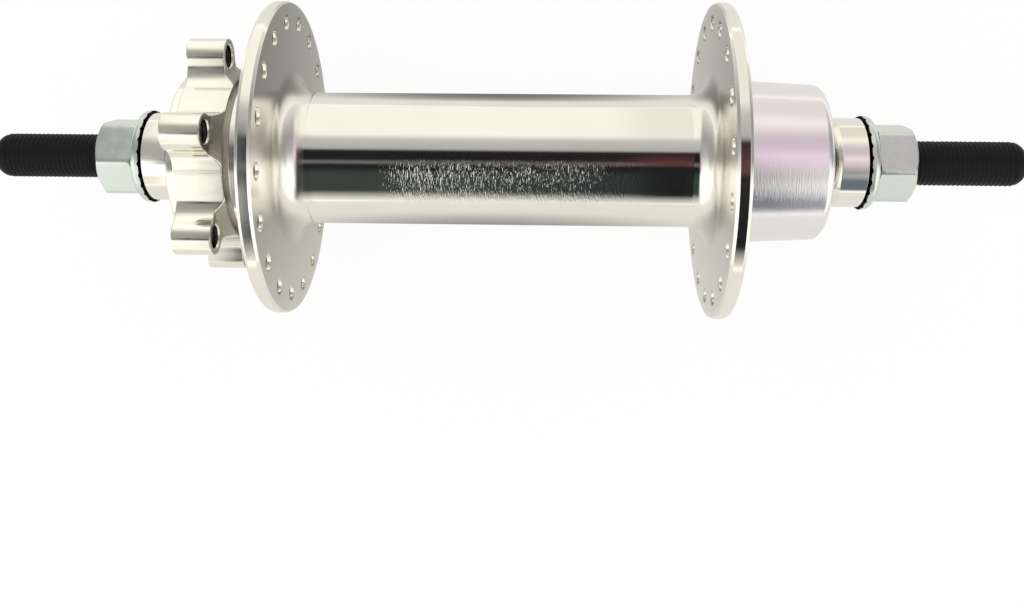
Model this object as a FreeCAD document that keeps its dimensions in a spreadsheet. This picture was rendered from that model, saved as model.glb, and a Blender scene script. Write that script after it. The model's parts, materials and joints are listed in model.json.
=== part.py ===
import FreeCAD, Part
import math
import os

import Sketcher

# A six-bolt disc brake front hub on a solid threaded axle.
# The axle lies along Y with the disc side at +Y, X points forward and Z up.
# The origin is on the axle, midway between the two faces that meet the fork.

SIZES = {
    # axle, and the width between the faces that meet the fork
    "over_locknut": 150.0,
    "axle_overhang": 34.5,
    "axle_diameter": 9.4,
    "axle_end_round": 3.2,
    # flanges, drilled for spokes
    "flange_diameter": 66.4,
    "flange_thickness": 3.0,
    "left_flange_inset": 28.7,
    "right_flange_inset": 29.7,
    "rim_bevel": 0.6,
    "rim_drop": 0.35,
    "spoke_count": 18,
    "spoke_margin": 4.2,
    "spoke_hole": 2.6,
    "spoke_countersink": 0.55,
    "left_spoke_turn": 2.0,
    "right_spoke_turn": 12.0,
    # barrel between the flanges
    "barrel_diameter": 28.0,
    "bearing_shoulder": 2.0,
    "barrel_fillet": 5.0,
    "barrel_crease": 0.12,
    "barrel_land": 0.3,
    # plain bearing drum on the right
    "drum_lip": 2.1,
    "drum_wall": 2.25,
    "drum_taper": 0.95,
    "drum_round": 1.6,
    "drum_relief_width": 0.7,
    "drum_relief_depth": 0.35,
    # six-lobed rotor mount on the left
    "rotor_inset": 10.0,
    "rotor_bolt_count": 6,
    "rotor_bolt_circle": 44.0,
    "rotor_bolt_hole": 5.0,
    "rotor_bolt_chamfer": 0.3,
    "lobe_radius": 3.7,
    "lobe_length": 7.9,
    "lobe_flank_radius": 4.7,
    "star_core_drop": 4.1,
    "star_cone_drop": 1.6,
    "star_depth": 10.0,
    "register_drop": 4.55,
    "register_height": 1.7,
    "register_chamfer": 0.3,
    "neck_wall": 3.0,
    "neck_groove_wall": 1.8,
    "neck_groove_width": 0.9,
    "neck_fillet": 2.2,
    # cartridge bearings
    "bearing_bore": 15.0,
    "bearing_outside": 28.0,
    "bearing_width": 7.0,
    "bearing_inset": 10.8,
    "bearing_edge": 0.3,
    "ball_count": 11,
    "ball_diameter": 3.5,
    "land_offset": 1.2,
    "seal_seat_step": 0.5,
    "seal_seat_depth": 0.9,
    "seal_thickness": 0.7,
    "seal_recess": 0.1,
    "cage_thickness": 0.9,
    "cage_width": 4.2,
    # spacers at the ends and the sleeve between the bearings
    "spacer_diameter": 18.8,
    "spacer_band": 5.6,
    "spacer_toe_step": 1.2,
    "spacer_stub": 6.3,
    "spacer_chamfer": 0.25,
    "sleeve_collar_step": 1.7,
    "sleeve_collar": 6.0,
    "sleeve_wall": 2.4,
    # toothed washers
    "washer_diameter": 19.8,
    "washer_thickness": 2.2,
    "washer_round": 1.2,
    "washer_bevel": 0.3,
    "tooth_length": 2.3,
    "washer_recess": 0.6,
    "tooth_count": 24,
    "tooth_depth": 0.45,
    "tooth_share": 0.96,
    "tooth_run_in": 0.1,
    # hexagon nuts
    "nut_flats": 15.0,
    "nut_corner_trim": 0.21,
    "nut_height": 8.0,
    "nut_chamfer": 1.1,
    "nut_foot_step": 0.4,
    "nut_foot": 0.4,
    "nut_bore_chamfer": 0.6,
    "left_nut_turn": -7.6,
    "right_nut_turn": -4.6,
    # clearances
    "thread_clearance": 0.05,
    "washer_clearance": 0.1,
    "spacer_clearance": 0.1,
    "sleeve_clearance": 0.4,
    "stub_clearance": 0.02,
    "ball_clearance": 0.04,
    "pocket_clearance": 0.08,
    "seal_seat_clearance": 0.02,
    "seal_lip_clearance": 0.08,
    # how far a cutter reaches past the face that it cuts
    "cutter_reach": 0.5,
}


class Size:
    """A length that knows its number and the sheet expression behind it."""

    def __init__(self, number, text):
        self.number = number
        self.text = text

    def join(self, other, sign, number):
        return Size(number, f"({self.text} {sign} {as_size(other).text})")

    def __add__(self, other):
        return self.join(other, "+", self.number + as_size(other).number)

    def __sub__(self, other):
        return self.join(other, "-", self.number - as_size(other).number)

    def __mul__(self, other):
        return self.join(other, "*", self.number * as_size(other).number)

    def __truediv__(self, other):
        return self.join(other, "/", self.number / as_size(other).number)

    def __neg__(self):
        return self * -1


def as_size(value):
    return value if isinstance(value, Size) else Size(value, f"({value})")


def size(alias):
    return Size(SIZES[alias], f"Sizes.{alias}")


def radius(alias):
    return size(alias) / 2


doc = FreeCAD.newDocument("DiscHub")
sheet = doc.addObject("Spreadsheet::Sheet", "Sizes")
for row, (alias, value) in enumerate(SIZES.items(), 1):
    sheet.set(f"A{row}", alias)
    sheet.set(f"B{row}", str(value))
    sheet.setAlias(f"B{row}", alias)
doc.recompute()


def new_body(label):
    body = doc.addObject("PartDesign::Body", label)
    body.Label = label
    return body


def origin_part(body, role):
    return next(part for part in body.Origin.OriginFeatures if part.Role == role)


def new_sketch(body, name, plane, shift=None, turn=None, turn_axis=(0, 0, 1)):
    """A sketch on an origin plane, moved along its normal and turned about one of its own axes."""
    sketch = body.newObject("Sketcher::SketchObject", f"{body.Label}_{name}")
    sketch.AttachmentSupport = [(origin_part(body, plane), "")]
    sketch.MapMode = "FlatFace"
    offset = FreeCAD.Vector(0, 0, shift.number if shift else 0)
    angle = turn.number if turn else 0
    sketch.AttachmentOffset = FreeCAD.Placement(offset, FreeCAD.Rotation(FreeCAD.Vector(*turn_axis), angle))
    if shift:
        sketch.setExpression("AttachmentOffset.Base.z", shift.text)
    if turn:
        sketch.setExpression("AttachmentOffset.Rotation.Angle", turn.text)
    return sketch


def bind(sketch, kind, places, length):
    """A dimension of a sketch that follows the sheet."""
    index = sketch.addConstraint(Sketcher.Constraint(kind, *places, length.number))
    name = f"d{index}"
    sketch.renameConstraint(index, name)
    sketch.setExpression(f"Constraints.{name}", length.text)


def closed_outline(sketch, corners):
    """A closed run of straight edges through corners given as pairs of sizes."""
    corners = [(as_size(across), as_size(up)) for across, up in corners]
    vectors = [FreeCAD.Vector(across.number, up.number, 0) for across, up in corners]
    first = sketch.GeometryCount
    for index, start in enumerate(vectors):
        sketch.addGeometry(Part.LineSegment(start, vectors[(index + 1) % len(vectors)]), False)
    for index, (across, up) in enumerate(corners):
        edge = first + index
        following = first + (index + 1) % len(corners)
        sketch.addConstraint(Sketcher.Constraint("Coincident", edge, 2, following, 1))
        bind(sketch, "DistanceX", (-1, 1, edge, 1), across)
        bind(sketch, "DistanceY", (-1, 1, edge, 1), up)


def turned(body, name, corners, kind="PartDesign::Revolution"):
    """A solid, or a cut with Groove, turned about the axle from corners (along the axle, radius)."""
    sketch = new_sketch(body, f"{name}_profile", "YZ_Plane")
    closed_outline(sketch, corners)
    feature = body.newObject(kind, f"{body.Label}_{name}")
    feature.Profile = sketch
    feature.ReferenceAxis = (sketch, ["H_Axis"])
    feature.Angle = 360
    body.Tip = feature
    return feature


def patterned(body, feature, count):
    """Copies of a feature spaced evenly round the axle."""
    pattern = body.newObject("PartDesign::PolarPattern", f"{feature.Name}_ring")
    pattern.Originals = [feature]
    pattern.Axis = (origin_part(body, "Y_Axis"), [""])
    pattern.Angle = 360
    pattern.Occurrences = int(count.number)
    pattern.setExpression("Occurrences", count.text)
    body.Tip = pattern
    return pattern


def drilled_ring(body, name, low, high, circle_radius, hole_radius, countersink, count, turn=None):
    """Through holes with a countersink at each mouth, parallel to the axle, cut in a ring."""
    sketch = new_sketch(body, f"{name}_profile", "YZ_Plane", turn=turn, turn_axis=(1, 0, 0))
    reach = size("cutter_reach")
    mouth = circle_radius + hole_radius + countersink + reach
    wall = circle_radius + hole_radius
    closed_outline(sketch, [
        (low - reach, circle_radius),
        (high + reach, circle_radius),
        (high + reach, mouth),
        (high - countersink, wall),
        (low + countersink, wall),
        (low - reach, mouth),
    ])
    start = FreeCAD.Vector(low.number, circle_radius.number, 0)
    end = FreeCAD.Vector(high.number, circle_radius.number, 0)
    axis = sketch.addGeometry(Part.LineSegment(start, end), True)
    sketch.addConstraint(Sketcher.Constraint("Horizontal", axis))
    bind(sketch, "DistanceX", (-1, 1, axis, 1), low)
    bind(sketch, "DistanceY", (-1, 1, axis, 1), circle_radius)
    bind(sketch, "DistanceX", (-1, 1, axis, 2), high)
    hole = body.newObject("PartDesign::Groove", f"{body.Label}_{name}")
    hole.Profile = sketch
    hole.ReferenceAxis = (sketch, ["Axis0"])
    hole.Angle = 360
    body.Tip = hole
    return patterned(body, hole, count)


def rounded_rings(body, name, rings, round_size):
    """A fillet on the circular edges found at (along the axle, radius)."""
    doc.recompute()
    base = body.Tip
    edges = []
    for index, edge in enumerate(base.Shape.Edges, 1):
        curve = edge.Curve
        if not isinstance(curve, Part.Circle):
            continue
        for along, ring_radius in rings:
            near = abs(curve.Center.y - along.number) < 0.005 and abs(curve.Radius - ring_radius.number) < 0.005
            if near:
                edges.append(f"Edge{index}")
    fillet = body.newObject("PartDesign::Fillet", f"{body.Label}_{name}")
    fillet.Base = (base, edges)
    fillet.Radius = round_size.number
    fillet.setExpression("Radius", round_size.text)
    body.Tip = fillet
    return fillet


SIDES = {"left": 1, "right": -1}
half_span = size("over_locknut") / 2
bearing_outer = half_span - size("bearing_inset")
bearing_inner = bearing_outer - size("bearing_width")
ball_circle = (size("bearing_bore") + size("bearing_outside")) / 4
inner_land = ball_circle - size("land_offset")
outer_land = ball_circle + size("land_offset")


# Hub shell: one piece of aluminium, turned, then milled and drilled.

left_flange_in = half_span - size("left_flange_inset") - size("flange_thickness") / 2
left_flange_out = left_flange_in + size("flange_thickness")
right_flange_in = half_span - size("right_flange_inset") - size("flange_thickness") / 2
right_flange_out = right_flange_in + size("flange_thickness")
drum_end = bearing_outer + size("drum_lip")
drum_end_radius = radius("bearing_outside") + size("drum_wall")
spoke_circle = radius("flange_diameter") - size("spoke_margin")
rotor_face = half_span - size("rotor_inset")
rotor_circle = radius("rotor_bolt_circle")
register_end = rotor_face + size("register_height")
star_back = rotor_face - size("star_depth")
lobe_back = rotor_face - size("lobe_length")
star_core = rotor_circle - size("star_core_drop")
neck_radius = radius("bearing_outside") + size("neck_wall")
neck_groove = radius("bearing_outside") + size("neck_groove_wall")


def flange_rim(inner_face, outer_face, side):
    """The bevelled rim of a flange, from its inner face to its outer face."""
    rim = radius("flange_diameter")
    low = rim - size("rim_drop")
    bevel = size("rim_bevel")
    return [
        (inner_face * side, low),
        ((inner_face + bevel) * side, rim),
        ((outer_face - bevel) * side, rim),
        (outer_face * side, low),
    ]


def shell_profile():
    """Half section of the turned blank, run along the outside and back through the bore."""
    barrel = radius("barrel_diameter")
    crease = barrel + size("barrel_crease")
    left_crease = left_flange_in - size("barrel_fillet") - size("barrel_land")
    right_crease = right_flange_in - size("barrel_fillet") - size("barrel_land")
    seat = radius("bearing_outside")
    bore = seat - size("bearing_shoulder")
    register = rotor_circle - size("register_drop")
    chamfer = size("register_chamfer")
    drum_root = drum_end_radius + size("drum_taper")
    relief = drum_root - size("drum_relief_depth")
    relief_end = right_flange_out + size("drum_relief_width")
    outside = [
        (register_end, seat + chamfer),
        (register_end, register - chamfer),
        (register_end - chamfer, register),
        (rotor_face - chamfer, register),
        (rotor_face - chamfer, neck_groove),
        (star_back - size("neck_groove_width"), neck_groove),
        (star_back - size("neck_groove_width"), neck_radius),
        (left_flange_out, neck_radius),
    ]
    outside += reversed(flange_rim(left_flange_in, left_flange_out, 1))
    outside += [
        (left_flange_in, crease),
        (left_crease, crease),
        (left_crease - size("barrel_crease"), barrel),
        (-(right_crease - size("barrel_crease")), barrel),
        (-right_crease, crease),
        (-right_flange_in, crease),
    ]
    outside += flange_rim(right_flange_in, right_flange_out, -1)
    outside += [
        (-right_flange_out, relief),
        (-relief_end, relief),
        (-relief_end, drum_root),
        (-drum_end, drum_end_radius),
        (-drum_end, seat + chamfer),
    ]
    inside = [
        (-(drum_end - chamfer), seat),
        (-bearing_inner, seat),
        (-bearing_inner, bore),
        (bearing_inner, bore),
        (bearing_inner, seat),
        (register_end - chamfer, seat),
    ]
    return outside + inside


def star_sector(body):
    """One sixth of the scalloped rotor mount: a lobe with hollow flanks that run out on the core."""
    sketch = new_sketch(body, "star_outline", "XZ_Plane", shift=-rotor_face)
    core = star_core
    lobe = size("lobe_radius")
    flank = size("lobe_flank_radius")
    bolt = rotor_circle
    root = (neck_groove + radius("bearing_outside")) / 2
    half_angle = math.pi / SIZES["rotor_bolt_count"]
    reach = core.number + flank.number
    gap = lobe.number + flank.number
    lean = math.acos((bolt.number ** 2 + reach ** 2 - gap ** 2) / (2 * bolt.number * reach))
    flank_centre = FreeCAD.Vector(reach * math.sin(lean), reach * math.cos(lean), 0)
    lobe_centre = FreeCAD.Vector(0, bolt.number, 0)
    normal = FreeCAD.Vector(0, 0, 1)
    towards_core = math.atan2(-flank_centre.y, -flank_centre.x)
    towards_lobe = math.atan2(lobe_centre.y - flank_centre.y, lobe_centre.x - flank_centre.x)

    def arc(centre, arc_radius, start, end):
        circle = Part.Circle(centre, normal, arc_radius)
        return sketch.addGeometry(Part.ArcOfCircle(circle, start, end), False)

    origin = FreeCAD.Vector(0, 0, 0)
    upright = math.pi / 2
    right_core = arc(origin, core.number, upright - half_angle, upright - lean)
    right_flank = arc(flank_centre, flank.number, towards_lobe, towards_core + 2 * math.pi)
    top = arc(lobe_centre, lobe.number, towards_lobe - math.pi, 2 * math.pi - towards_lobe)
    mirrored = FreeCAD.Vector(-flank_centre.x, flank_centre.y, 0)
    left_flank = arc(mirrored, flank.number, -math.pi - towards_core, math.pi - towards_lobe)
    left_core = arc(origin, core.number, upright + lean, upright + half_angle)
    inner = arc(origin, root.number, upright - half_angle, upright + half_angle)

    def spoke(angle):
        direction = FreeCAD.Vector(math.cos(angle), math.sin(angle), 0)
        return sketch.addGeometry(Part.LineSegment(direction * root.number, direction * core.number), False)

    right_side = spoke(upright - half_angle)
    left_side = spoke(upright + half_angle)

    for curve in (right_core, left_core, inner):
        sketch.addConstraint(Sketcher.Constraint("Coincident", curve, 3, -1, 1))
    sketch.addConstraint(Sketcher.Constraint("PointOnObject", top, 3, -2))
    sketch.addConstraint(Sketcher.Constraint("Equal", right_core, left_core))
    sketch.addConstraint(Sketcher.Constraint("Equal", right_flank, left_flank))
    smooth = [
        (right_core, 2, right_flank, 2),
        (right_flank, 1, top, 1),
        (top, 2, left_flank, 2),
        (left_flank, 1, left_core, 1),
    ]
    for joint in smooth:
        sketch.addConstraint(Sketcher.Constraint("Tangent", *joint))
    sharp = [
        (right_side, 2, right_core, 1),
        (right_side, 1, inner, 1),
        (left_side, 2, left_core, 2),
        (left_side, 1, inner, 2),
    ]
    for joint in sharp:
        sketch.addConstraint(Sketcher.Constraint("Coincident", *joint))
    for line in (right_side, left_side):
        sketch.addConstraint(Sketcher.Constraint("PointOnObject", -1, 1, line))
    share = as_size(180.0) / size("rotor_bolt_count")
    for line, turn in ((right_side, as_size(90.0) - share), (left_side, as_size(90.0) + share)):
        bind(sketch, "Angle", (line,), Size(math.radians(turn.number), f"{turn.text} * 1 deg"))
    bind(sketch, "DistanceY", (-1, 1, top, 3), bolt)
    bind(sketch, "Radius", (top,), lobe)
    bind(sketch, "Radius", (right_flank,), flank)
    bind(sketch, "Radius", (right_core,), core)
    bind(sketch, "Radius", (inner,), root)
    pad = body.newObject("PartDesign::Pad", f"{body.Label}_star")
    pad.Profile = sketch
    pad.Length = SIZES["star_depth"]
    pad.setExpression("Length", "Sizes.star_depth")
    body.Tip = pad
    return pad


def hub_shell():
    body = new_body("hub_shell")
    turned(body, "blank", shell_profile())
    barrel_edge = radius("barrel_diameter") + size("barrel_crease")
    rounded_rings(body, "barrel_fillets",
                  [(left_flange_in, barrel_edge), (-right_flange_in, barrel_edge)], size("barrel_fillet"))
    rounded_rings(body, "neck_fillet", [(left_flange_out, neck_radius)], size("neck_fillet"))
    rounded_rings(body, "drum_round", [(-drum_end, drum_end_radius)], size("drum_round"))
    patterned(body, star_sector(body), size("rotor_bolt_count"))
    reach = size("cutter_reach")
    lobe_tip = rotor_circle + size("lobe_radius") + reach
    turned(body, "lobe_backs", [
        (star_back - reach, star_core),
        (star_back, star_core),
        (lobe_back, rotor_circle - size("star_cone_drop")),
        (lobe_back, lobe_tip),
        (star_back - reach, lobe_tip),
    ], "PartDesign::Groove")
    drilled_ring(body, "rotor_bolt", lobe_back, rotor_face, rotor_circle,
                 radius("rotor_bolt_hole"), size("rotor_bolt_chamfer"), size("rotor_bolt_count"))
    drilled_ring(body, "left_spoke", left_flange_in, left_flange_out, spoke_circle,
                 radius("spoke_hole"), size("spoke_countersink"), size("spoke_count"), size("left_spoke_turn"))
    drilled_ring(body, "right_spoke", -right_flange_out, -right_flange_in, spoke_circle,
                 radius("spoke_hole"), size("spoke_countersink"), size("spoke_count"), size("right_spoke_turn"))
    return body


# Axle: a plain rod at the thread's outside diameter, rounded at both ends.

def axle():
    body = new_body("axle")
    end = half_span + size("axle_overhang")
    outside = radius("axle_diameter")
    turned(body, "rod", [(-end, 0), (end, 0), (end, outside), (-end, outside)])
    rounded_rings(body, "ends", [(end, outside), (-end, outside)], size("axle_end_round"))
    return body


def centre_sleeve():
    """The tube that holds the inner races apart, with a collar at each bearing."""
    body = new_body("centre_sleeve")
    bore = radius("axle_diameter") + size("sleeve_clearance")
    collar = radius("bearing_bore") + size("sleeve_collar_step")
    waist = bore + size("sleeve_wall")
    collar_start = bearing_inner - size("sleeve_collar")
    slope = collar - waist
    turned(body, "tube", [
        (-bearing_inner, bore),
        (bearing_inner, bore),
        (bearing_inner, collar),
        (collar_start, collar),
        (collar_start - slope, waist),
        (-(collar_start - slope), waist),
        (-collar_start, collar),
        (-bearing_inner, collar),
    ])
    return body


def spacer(name, side):
    """An end spacer: a stub inside the bearing, a tapered toe on its inner race and an outer band."""
    body = new_body(f"{name}_spacer")
    bore = radius("axle_diameter") + size("spacer_clearance")
    stub = radius("bearing_bore") - size("stub_clearance")
    chamfer = size("spacer_chamfer")
    band = radius("spacer_diameter")
    turned(body, "body", [
        ((bearing_outer - size("spacer_stub")) * side, bore),
        ((bearing_outer - size("spacer_stub")) * side, stub - chamfer),
        ((bearing_outer - size("spacer_stub") + chamfer) * side, stub),
        (bearing_outer * side, stub),
        (bearing_outer * side, radius("bearing_bore") + size("spacer_toe_step")),
        ((half_span - size("spacer_band")) * side, band),
        ((half_span - chamfer) * side, band),
        (half_span * side, band - chamfer),
        (half_span * side, bore),
    ])
    return body


# Cartridge bearings: deep-groove races, balls in a cage, and a seal on each side.

def race(name, side, kind):
    """A bearing race with its ball track cut by a torus through the ball circle."""
    body = new_body(f"{name}_{kind}_race")
    edge = size("bearing_edge")
    low = bearing_inner
    high = bearing_outer
    seat_low = low + size("seal_seat_depth")
    seat_high = high - size("seal_seat_depth")
    if kind == "inner":
        bore = radius("bearing_bore")
        land = inner_land
        section = [
            (low, bore + edge), (low + edge, bore), (high - edge, bore), (high, bore + edge),
            (high, land), (low, land),
        ]
    else:
        outside = radius("bearing_outside")
        land = outer_land
        seat = outer_land + size("seal_seat_step")
        section = [
            (low, outside - edge), (low + edge, outside), (high - edge, outside), (high, outside - edge),
            (high, seat), (seat_high, seat), (seat_high, land), (seat_low, land), (seat_low, seat), (low, seat),
        ]
    turned(body, "ring", [(along * side, up) for along, up in section])
    track = body.newObject("PartDesign::SubtractiveTorus", f"{body.Label}_track")
    track.AttachmentSupport = [(origin_part(body, "XZ_Plane"), "")]
    track.MapMode = "FlatFace"
    middle = (low + high) / 2 * -side
    track.AttachmentOffset = FreeCAD.Placement(FreeCAD.Vector(0, 0, middle.number), FreeCAD.Rotation())
    track.setExpression("AttachmentOffset.Base.z", middle.text)
    for prop, length in (("Radius1", ball_circle),
                         ("Radius2", radius("ball_diameter") + size("ball_clearance"))):
        setattr(track, prop, length.number)
        track.setExpression(prop, length.text)
    track.Angle1 = -180
    track.Angle2 = 180
    track.Angle3 = 360
    body.Tip = track
    return body


def ball_at_top(body, name, kind, side, ball_radius):
    """A ball, or its pocket, on the ball circle straight above the axle."""
    ball = body.newObject(kind, f"{body.Label}_{name}")
    ball.AttachmentSupport = [(origin_part(body, "XZ_Plane"), "")]
    ball.MapMode = "FlatFace"
    middle = (bearing_inner + bearing_outer) / 2 * -side
    ball.AttachmentOffset = FreeCAD.Placement(
        FreeCAD.Vector(0, ball_circle.number, middle.number), FreeCAD.Rotation())
    ball.setExpression("AttachmentOffset.Base.y", ball_circle.text)
    ball.setExpression("AttachmentOffset.Base.z", middle.text)
    ball.Radius = ball_radius.number
    ball.setExpression("Radius", ball_radius.text)
    body.Tip = ball
    return patterned(body, ball, size("ball_count"))


def balls(name, side):
    body = new_body(f"{name}_balls")
    body.AllowCompound = True
    ball_at_top(body, "ball", "PartDesign::AdditiveSphere", side, radius("ball_diameter"))
    return body


def cage(name, side):
    body = new_body(f"{name}_cage")
    middle = (bearing_inner + bearing_outer) / 2
    half_width = size("cage_width") / 2
    half_wall = size("cage_thickness") / 2
    low = (middle - half_width) * side
    high = (middle + half_width) * side
    inside = ball_circle - half_wall
    outside = ball_circle + half_wall
    turned(body, "ring", [(low, inside), (high, inside), (high, outside), (low, outside)])
    ball_at_top(body, "pocket", "PartDesign::SubtractiveSphere", side,
                radius("ball_diameter") + size("pocket_clearance"))
    return body


def seal(name, side, place):
    """A rubber lip seal that sits in the outer race and runs close to the inner one."""
    body = new_body(f"{name}_{place}_seal")
    if place == "outer":
        high = bearing_outer - size("seal_recess")
        low = high - size("seal_thickness")
    else:
        low = bearing_inner + size("seal_recess")
        high = low + size("seal_thickness")
    lip = inner_land + size("seal_lip_clearance")
    outside = outer_land + size("seal_seat_step") - size("seal_seat_clearance")
    turned(body, "ring", [(low * side, lip), (high * side, lip), (high * side, outside), (low * side, outside)])
    return body


# Toothed washers and hexagon nuts that clamp the fork.

def washer(name, side):
    """A hardened washer with radial teeth on the face that bites the fork."""
    body = new_body(f"{name}_washer")
    inner = half_span
    outer = inner + size("washer_thickness")
    bore = radius("axle_diameter") + size("washer_clearance")
    rim = radius("washer_diameter")
    recess = rim - size("tooth_length")
    recess_floor = inner + size("washer_recess")
    bevel = size("washer_bevel")
    turned(body, "disc", [
        (inner * side, recess),
        (inner * side, rim - bevel),
        ((inner + bevel) * side, rim),
        (outer * side, rim),
        (outer * side, bore),
        (recess_floor * side, bore),
        (recess_floor * side, recess),
    ])
    rounded_rings(body, "rim", [(outer * side, rim)], size("washer_round"))
    start = recess - size("tooth_run_in")
    half_turn = Size(math.tan(math.pi / SIZES["tooth_count"]), "tan(180 deg / Sizes.tooth_count)")
    half_mouth = start * half_turn * size("tooth_share")
    above = inner - size("cutter_reach")
    sketch = new_sketch(body, "notch_outline", "XY_Plane", shift=start)
    closed_outline(sketch, [
        (-half_mouth, above * side),
        (half_mouth, above * side),
        (half_mouth, inner * side),
        (0, (inner + size("tooth_depth")) * side),
        (-half_mouth, inner * side),
    ])
    notch = body.newObject("PartDesign::Pocket", f"{body.Label}_notch")
    notch.Profile = sketch
    notch.Reversed = True
    length = rim - start + size("cutter_reach")
    notch.Length = length.number
    notch.setExpression("Length", length.text)
    body.Tip = notch
    patterned(body, notch, size("tooth_count"))
    return body


def nut(name, side):
    """A hexagon nut: a turned blank with a chamfered nose and a round foot, and six milled flats."""
    body = new_body(f"{name}_nut")
    foot_face = half_span + size("washer_thickness")
    hex_start = foot_face + size("nut_foot")
    nose = foot_face + size("nut_height")
    bore = radius("axle_diameter") + size("thread_clearance")
    corner = size("nut_flats") / math.sqrt(3) - size("nut_corner_trim")
    lead = size("nut_bore_chamfer")
    turned(body, "blank", [
        ((foot_face + lead) * side, bore),
        (foot_face * side, bore + lead),
        (foot_face * side, radius("nut_flats") - size("nut_foot_step")),
        (hex_start * side, radius("nut_flats") - size("nut_foot_step")),
        (hex_start * side, corner),
        ((nose - size("nut_chamfer")) * side, corner),
        (nose * side, corner - size("nut_chamfer") * math.sqrt(3)),
        (nose * side, bore + lead),
        ((nose - lead) * side, bore),
    ])
    reach = size("cutter_reach")
    plane_shift = (nose + reach if side > 0 else hex_start - reach) * -side
    depth = size("nut_height") - size("nut_foot") + reach * 2
    sketch = new_sketch(body, "flat_outline", "XZ_Plane", shift=plane_shift, turn=size(f"{name}_nut_turn"))
    closed_outline(sketch, [
        (-corner, radius("nut_flats")),
        (corner, radius("nut_flats")),
        (corner, corner + reach),
        (-corner, corner + reach),
    ])
    flat = body.newObject("PartDesign::Pocket", f"{body.Label}_flat")
    flat.Profile = sketch
    flat.Reversed = True
    flat.Length = depth.number
    flat.setExpression("Length", depth.text)
    body.Tip = flat
    patterned(body, flat, as_size(6))
    return body


bodies = [hub_shell(), axle(), centre_sleeve()]
for side_name, side_sign in SIDES.items():
    bodies.append(spacer(side_name, side_sign))
    bodies.append(race(side_name, side_sign, "inner"))
    bodies.append(race(side_name, side_sign, "outer"))
    bodies.append(balls(side_name, side_sign))
    bodies.append(cage(side_name, side_sign))
    bodies.append(seal(side_name, side_sign, "inner"))
    bodies.append(seal(side_name, side_sign, "outer"))
    bodies.append(washer(side_name, side_sign))
    bodies.append(nut(side_name, side_sign))

doc.recompute()
for item in doc.Objects:
    if "Invalid" in item.State or "Error" in item.State:
        raise RuntimeError(f"{item.Label} failed to build: {item.State}")
for body in bodies:
    if body.Shape.isNull() or not body.Shape.isValid():
        raise RuntimeError(f"{body.Label} has no valid shape")

os.makedirs("parts", exist_ok=True)
for body in bodies:
    shape = body.Shape
    shape.exportStep(f"parts/{body.Label}.step")
    print(f"{body.Label}: {len(shape.Solids)} solid(s), {shape.Volume:.1f} mm3")
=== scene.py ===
import json
import math
import bmesh
import bpy
import numpy as np
from mathutils import Euler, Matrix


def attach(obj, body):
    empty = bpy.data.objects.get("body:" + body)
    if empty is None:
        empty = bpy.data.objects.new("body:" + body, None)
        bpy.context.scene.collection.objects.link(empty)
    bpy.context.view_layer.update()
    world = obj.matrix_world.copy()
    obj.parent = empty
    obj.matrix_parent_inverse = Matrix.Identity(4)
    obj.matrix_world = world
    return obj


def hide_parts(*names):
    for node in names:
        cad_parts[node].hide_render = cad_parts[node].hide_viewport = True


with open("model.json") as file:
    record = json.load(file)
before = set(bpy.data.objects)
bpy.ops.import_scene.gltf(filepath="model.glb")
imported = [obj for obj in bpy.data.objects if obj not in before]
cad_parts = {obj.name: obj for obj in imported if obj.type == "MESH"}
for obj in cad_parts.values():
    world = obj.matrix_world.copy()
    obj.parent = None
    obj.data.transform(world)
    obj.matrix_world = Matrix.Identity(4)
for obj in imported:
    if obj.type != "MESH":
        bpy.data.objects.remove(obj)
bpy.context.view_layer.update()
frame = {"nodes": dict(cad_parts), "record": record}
print("frame loaded")

scene = bpy.context.scene
scene.view_settings.view_transform = "Standard"
mm = 0.001
sides = {"left": 1, "right": -1}   # left is the brake disc side, towards +Y


# Camera, at the photograph's place

cameraView = dict(
    place=(-0.04800, -0.00978, 0.20957),   # 215 mm from the axle, 12.9 degrees back from straight above
    turn=(11.578, 1.896, -89.022),         # degrees
    lens=35.32,                            # mm on a 36 mm wide sensor
    shiftY=-0.1175,                        # the photograph has more white below the hub than above it
)


def makeCamera():
    data = bpy.data.cameras.new("photoCamera")
    data.sensor_width = 36.0
    data.lens = cameraView["lens"]
    data.shift_y = cameraView["shiftY"]
    data.clip_start = 0.01
    data.clip_end = 20.0
    camera = bpy.data.objects.new("photoCamera", data)
    camera.location = cameraView["place"]
    camera.rotation_euler = Euler([math.radians(a) for a in cameraView["turn"]], "XYZ")
    scene.collection.objects.link(camera)
    scene.camera = camera


makeCamera()
print("camera placed")


# Mesh helpers. A patch is an array of points (copies, rows, columns, xyz) in millimetres.

def quadsOf(points, closeRows=False, closeColumns=False):
    # neighbours on the grid make a quad; a closed direction joins its last line to its first
    copies, rows, columns, _ = points.shape
    copy, row, column = np.meshgrid(np.arange(copies), np.arange(rows if closeRows else rows - 1),
                                    np.arange(columns if closeColumns else columns - 1), indexing="ij")
    base = copy * rows * columns
    nextRow, nextColumn = (row + 1) % rows, (column + 1) % columns
    return np.stack([base + row * columns + column, base + row * columns + nextColumn,
                     base + nextRow * columns + nextColumn,
                     base + nextRow * columns + column], -1).reshape(-1, 4)


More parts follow.
